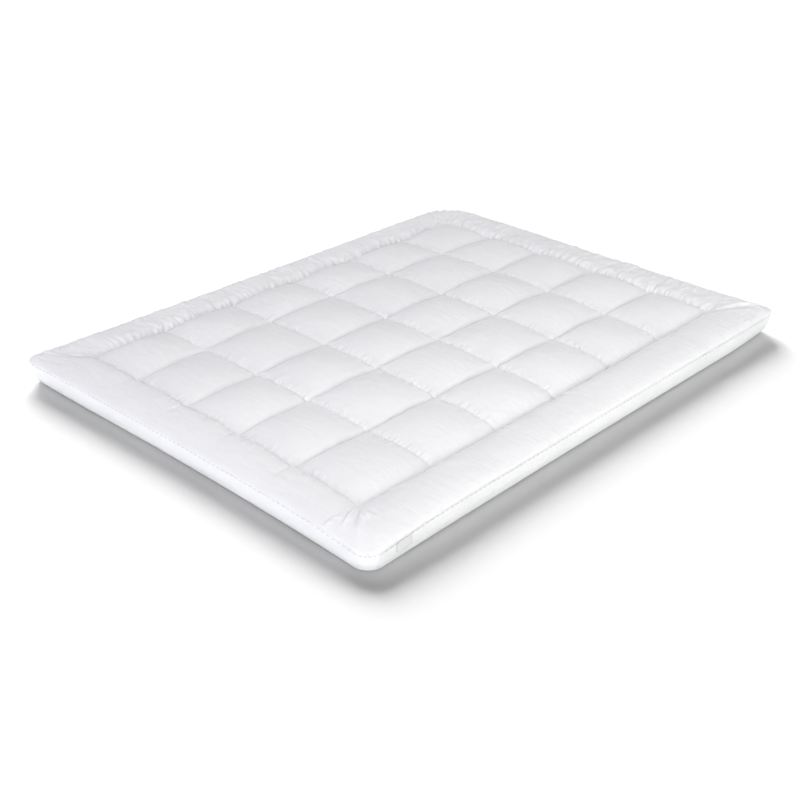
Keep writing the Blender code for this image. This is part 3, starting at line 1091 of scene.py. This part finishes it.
def add_light(traits, kind, width, floor):
    """A soft light of this width that faces the topper, and lights the floor, the topper or both."""
    data = bpy.data.lights.new(traits.name, kind)
    data.energy = traits.power
    data.color = traits.colour
    if kind == "SUN":
        data.angle = width
    else:
        data.size = width
    light = bpy.data.objects.new(traits.name, data)
    towards = from_angles(traits.azimuth, traits.elevation)
    light.location = towards * NEAR_LIGHT_DISTANCE
    light.rotation_mode = "QUATERNION"
    light.rotation_quaternion = towards.to_track_quat("Z", "Y")
    bpy.context.scene.collection.objects.link(light)
    if traits.lights != EVERYTHING:
        chosen = bpy.data.collections.new(traits.name + "_chosen")
        chosen.objects.link(floor)
        state = "INCLUDE" if traits.lights == FLOOR else "EXCLUDE"
        chosen.collection_objects[0].light_linking.link_state = state
        light.light_linking.receiver_collection = chosen


def add_backdrop():
    """A white round wall far behind the floor, for the camera only: it throws no light and no shadow."""
    bm = bmesh.new()
    bmesh.ops.create_cone(
        bm, segments=96, radius1=BACKDROP_RADIUS, radius2=BACKDROP_RADIUS, depth=2 * FLOOR_REACH
    )
    paint = new_material("backdrop_paint", {
        "Base Color": (0.0, 0.0, 0.0, 1.0),
        "Specular IOR Level": 0.0,
        "Emission Color": BACKDROP_COLOUR,
        "Emission Strength": 1.0,
    })
    wall = new_object("backdrop", bm, paint)
    wall.visible_diffuse = False
    wall.visible_glossy = False
    wall.visible_shadow = False


def add_floor():
    """A large pale floor."""
    bm = bmesh.new()
    bmesh.ops.create_grid(bm, x_segments=8, y_segments=8, size=FLOOR_REACH)
    paint = new_material("floor_paint", {"Base Color": FLOOR_COLOUR, "Roughness": FLOOR_ROUGHNESS})
    floor = new_object("floor", bm, paint)
    return floor


def add_studio():
    """A pale floor before a white backdrop, soft lights and a faint even light from all round."""
    scene = bpy.context.scene
    scene.view_settings.view_transform = "Standard"
    world = bpy.data.worlds.new("studio")
    world.use_nodes = True
    set_sockets(world.node_tree.nodes["Background"], {"Color": WORLD_COLOUR, "Strength": WORLD_STRENGTH})
    scene.world = world
    add_backdrop()
    floor = add_floor()
    for traits in FAR_LIGHTS:
        add_light(traits, "SUN", math.radians(FAR_LIGHT_WIDTH), floor)
    for traits in NEAR_LIGHTS:
        add_light(traits, "AREA", NEAR_LIGHT_SIZE, floor)
    add_light(FLOOR_WASH, "SUN", math.radians(FLOOR_WASH_WIDTH), floor)


def main():
    pad = build_pad(cloth(TOP_CLOTH))
    gusset = build_gusset(cloth(STRIP_CLOTH_PAINTED_LIGHT))
    tag = build_tag(cloth(TAG_CLOTH_PAINTED_SHADE))
    stitched = quilt_stitches(thread("white_thread", QUILT_THREAD_COLOUR))
    seamed = seam_stitches(thread("seam_thread_and_shade", SEAM_THREAD_AND_SHADE_COLOUR))

    for piece in (pad, gusset, tag, stitched, seamed):
        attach(piece, "root")
    for piece, node, slot in (
        (pad, "quilted_pad", "quilted_cloth"),
        (gusset, "side_gusset", "strip_cloth"),
        (tag, "side_label", "tag_cloth"),
    ):
        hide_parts(node)

    add_camera()
    add_studio()


main()
